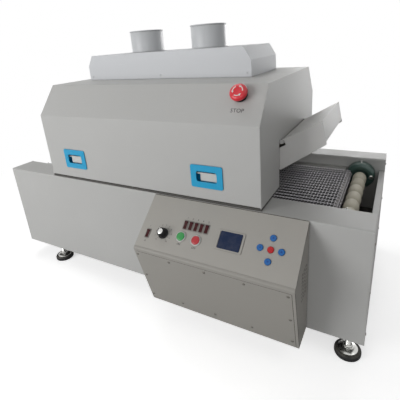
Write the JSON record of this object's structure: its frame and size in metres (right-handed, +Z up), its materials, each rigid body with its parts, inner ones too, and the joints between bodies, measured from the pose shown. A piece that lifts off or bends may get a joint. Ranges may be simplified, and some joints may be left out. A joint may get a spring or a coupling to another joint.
{
  "type": "reflow oven",
  "caption": "Bench conveyor reflow oven with a lifting folded-sheet hood, wire belt, tunnel flaps, duct collars and a slanted control console.",
  "frame": {"origin": "middle of the whole box, on the plane the foot pads stand on", "axes": "+X along the conveyor towards the outlet, +Y from the operator to the back, +Z up"},
  "size_m": [1.45, 0.8, 0.961],
  "materials": {
    "cream_paint": "satin powder coat",
    "bare_steel": "brushed",
    "belt_wire": "drawn wire",
    "heater_tube": "frosted quartz",
    "cast_green": "enamelled casting",
    "black_rubber": "matte",
    "black_plastic": "matte",
    "pale_plastic": "satin",
    "display": "gloss",
    "blue_plastic": "gloss",
    "roller_rubber": "matte",
    "red_plastic": "gloss",
    "green_plastic": "gloss",
    "dark_red_plastic": "gloss",
    "key_blue": "matte",
    "key_red": "matte"
  },
  "bodies": {
    "cabinet": {"front_panel": "cream_paint", "rear_panel": "cream_paint", "service_panel": "cream_paint", "floor_pan": "cream_paint", "outlet_end_plate": "cream_paint", "inlet_end_plate": "cream_paint", "heater_tray": "bare_steel", "lower_heaters": "heater_tube", "belt_top_run": "belt_wire", "belt_return_run": "belt_wire", "belt_rails": "bare_steel", "nose_bars": "bare_steel", "bearing_blocks": "cast_green", "gear_motor": "cast_green", "drive_chain": "belt_wire", "foot_pads": "black_rubber", "foot_stems": "bare_steel", "console_shell": "cream_paint", "console_cover": "cream_paint", "control_panel": "cream_paint", "switch_frames": "black_plastic", "button_bezels": "pale_plastic", "lcd_module": "display", "hood_seal": "black_rubber", "base_hinges": "bare_steel", "power_inlet": "black_plastic"},
    "hood": {"hood_shell": "cream_paint", "hood_end_outlet": "cream_paint", "hood_end_inlet": "cream_paint", "hood_liner": "bare_steel", "upper_heaters": "heater_tube", "exhaust_box": "cream_paint", "exhaust_collars": "bare_steel", "estop_collar": "black_plastic", "latch_housings": "blue_plastic", "hood_hinges": "bare_steel"},
    "outlet_flap": {"outlet_flap": "cream_paint"},
    "inlet_flap": {"inlet_flap": "cream_paint"},
    "outfeed_roller": {"outfeed_roller": "roller_rubber"},
    "infeed_roller": {"infeed_roller": "roller_rubber"},
    "motor_sprocket": {"motor_sprocket": "belt_wire"},
    "fan_rotor_left": {"fan_rotor_left": "black_plastic"},
    "fan_rotor_right": {"fan_rotor_right": "black_plastic"},
    "estop_head": {"estop_head": "red_plastic"},
    "latch_paddle_left": {"latch_paddle_left": "pale_plastic"},
    "latch_paddle_right": {"latch_paddle_right": "pale_plastic"},
    "speed_knob": {"speed_knob": "black_plastic"},
    "main_rocker": {"main_rocker": "dark_red_plastic"},
    "zone_rocker_1": {"zone_rocker_1": "dark_red_plastic"},
    "zone_rocker_2": {"zone_rocker_2": "dark_red_plastic"},
    "zone_rocker_3": {"zone_rocker_3": "dark_red_plastic"},
    "zone_rocker_4": {"zone_rocker_4": "dark_red_plastic"},
    "zone_rocker_5": {"zone_rocker_5": "dark_red_plastic"},
    "start_button": {"start_button": "green_plastic"},
    "stop_button": {"stop_button": "red_plastic"},
    "key_up": {"key_up": "key_blue"},
    "key_down": {"key_down": "key_blue"},
    "key_left": {"key_left": "key_blue"},
    "key_right": {"key_right": "key_blue"},
    "key_enter": {"key_enter": "key_red"}
  },
  "joints": [
    {"name": "hood_lift", "type": "hinge", "parent": "cabinet", "child": "hood", "pos_m": [0, 0.38603, 0.4385], "axis": [-1, 0, 0], "range_deg": [0, 60]},
    {"name": "outlet_flap_tilt", "type": "hinge", "parent": "hood", "child": "outlet_flap", "pos_m": [0.44, 0.06953, 0.592], "axis": [0, -1, 0], "range_deg": [-120, 20]},
    {"name": "inlet_flap_tilt", "type": "hinge", "parent": "hood", "child": "inlet_flap", "pos_m": [-0.458, 0.06953, 0.592], "axis": [0, 1, 0], "range_deg": [0, 140]},
    {"name": "outfeed_roller_spin", "type": "hinge", "parent": "cabinet", "child": "outfeed_roller", "pos_m": [0.644, 0.06953, 0.372], "axis": [0, 1, 0], "continuous": true},
    {"name": "infeed_roller_spin", "type": "hinge", "parent": "cabinet", "child": "infeed_roller", "pos_m": [-0.644, 0.06953, 0.372], "axis": [0, 1, 0], "continuous": true},
    {"name": "motor_spin", "type": "hinge", "parent": "cabinet", "child": "motor_sprocket", "pos_m": [0.54, 0.33003, 0.167], "axis": [0, 1, 0], "continuous": true},
    {"name": "fan_left_spin", "type": "hinge", "parent": "hood", "child": "fan_rotor_left", "pos_m": [-0.175, 0.10403, 0.904], "axis": [0, 0, 1], "continuous": true},
    {"name": "fan_right_spin", "type": "hinge", "parent": "hood", "child": "fan_rotor_right", "pos_m": [0.109, 0.10403, 0.904], "axis": [0, 0, 1], "continuous": true},
    {"name": "estop_press", "type": "slide", "parent": "hood", "child": "estop_head", "axis": [0, 0.7823, -0.6228], "range_m": [0, 0.006]},
    {"name": "latch_left_pull", "type": "hinge", "parent": "hood", "child": "latch_paddle_left", "pos_m": [-0.303, -0.24948, 0.527], "axis": [-1, 0, 0], "range_deg": [0, 35], "stiffness_Nm_per_rad": 0.15},
    {"name": "latch_right_pull", "type": "hinge", "parent": "hood", "child": "latch_paddle_right", "pos_m": [0.2615, -0.24948, 0.527], "axis": [-1, 0, 0], "range_deg": [0, 35], "stiffness_Nm_per_rad": 0.15},
    {"name": "speed_knob_turn", "type": "hinge", "parent": "cabinet", "child": "speed_knob", "pos_m": [0.149, -0.35195, 0.35447], "axis": [0, -0.6547, 0.7559], "range_deg": [-140, 140]},
    {"name": "main_rocker_tip", "type": "hinge", "parent": "cabinet", "child": "main_rocker", "pos_m": [0.094, -0.35754, 0.34565], "axis": [-1, 0, 0], "range_deg": [0, 14]},
    {"name": "zone_rocker_1_tip", "type": "hinge", "parent": "cabinet", "child": "zone_rocker_1", "pos_m": [0.214, -0.31899, 0.37905], "axis": [-1, 0, 0], "range_deg": [0, 14]},
    {"name": "zone_rocker_2_tip", "type": "hinge", "parent": "cabinet", "child": "zone_rocker_2", "pos_m": [0.232, -0.31899, 0.37905], "axis": [-1, 0, 0], "range_deg": [0, 14]},
    {"name": "zone_rocker_3_tip", "type": "hinge", "parent": "cabinet", "child": "zone_rocker_3", "pos_m": [0.25, -0.31899, 0.37905], "axis": [-1, 0, 0], "range_deg": [0, 14]},
    {"name": "zone_rocker_4_tip", "type": "hinge", "parent": "cabinet", "child": "zone_rocker_4", "pos_m": [0.268, -0.31899, 0.37905], "axis": [-1, 0, 0], "range_deg": [0, 14]},
    {"name": "zone_rocker_5_tip", "type": "hinge", "parent": "cabinet", "child": "zone_rocker_5", "pos_m": [0.286, -0.31899, 0.37905], "axis": [-1, 0, 0], "range_deg": [0, 14]},
    {"name": "start_button_press", "type": "slide", "parent": "cabinet", "child": "start_button", "axis": [0, 0.6547, -0.7559], "range_m": [0, 0.003], "stiffness_N_per_m": 400},
    {"name": "stop_button_press", "type": "slide", "parent": "cabinet", "child": "stop_button", "axis": [0, 0.6547, -0.7559], "range_m": [0, 0.003], "stiffness_N_per_m": 400},
    {"name": "key_up_press", "type": "slide", "parent": "cabinet", "child": "key_up", "axis": [0, 0.6547, -0.7559], "range_m": [0, 0.0012], "stiffness_N_per_m": 600},
    {"name": "key_down_press", "type": "slide", "parent": "cabinet", "child": "key_down", "axis": [0, 0.6547, -0.7559], "range_m": [0, 0.0012], "stiffness_N_per_m": 600},
    {"name": "key_left_press", "type": "slide", "parent": "cabinet", "child": "key_left", "axis": [0, 0.6547, -0.7559], "range_m": [0, 0.0012], "stiffness_N_per_m": 600},
    {"name": "key_right_press", "type": "slide", "parent": "cabinet", "child": "key_right", "axis": [0, 0.6547, -0.7559], "range_m": [0, 0.0012], "stiffness_N_per_m": 600},
    {"name": "key_enter_press", "type": "slide", "parent": "cabinet", "child": "key_enter", "axis": [0, 0.6547, -0.7559], "range_m": [0, 0.0012], "stiffness_N_per_m": 600}
  ],
  "couplings": [
    {"joint": "infeed_roller_spin", "follows": "outfeed_roller_spin", "ratio": 1},
    {"joint": "motor_spin", "follows": "outfeed_roller_spin", "ratio": 1.2727}
  ]
}
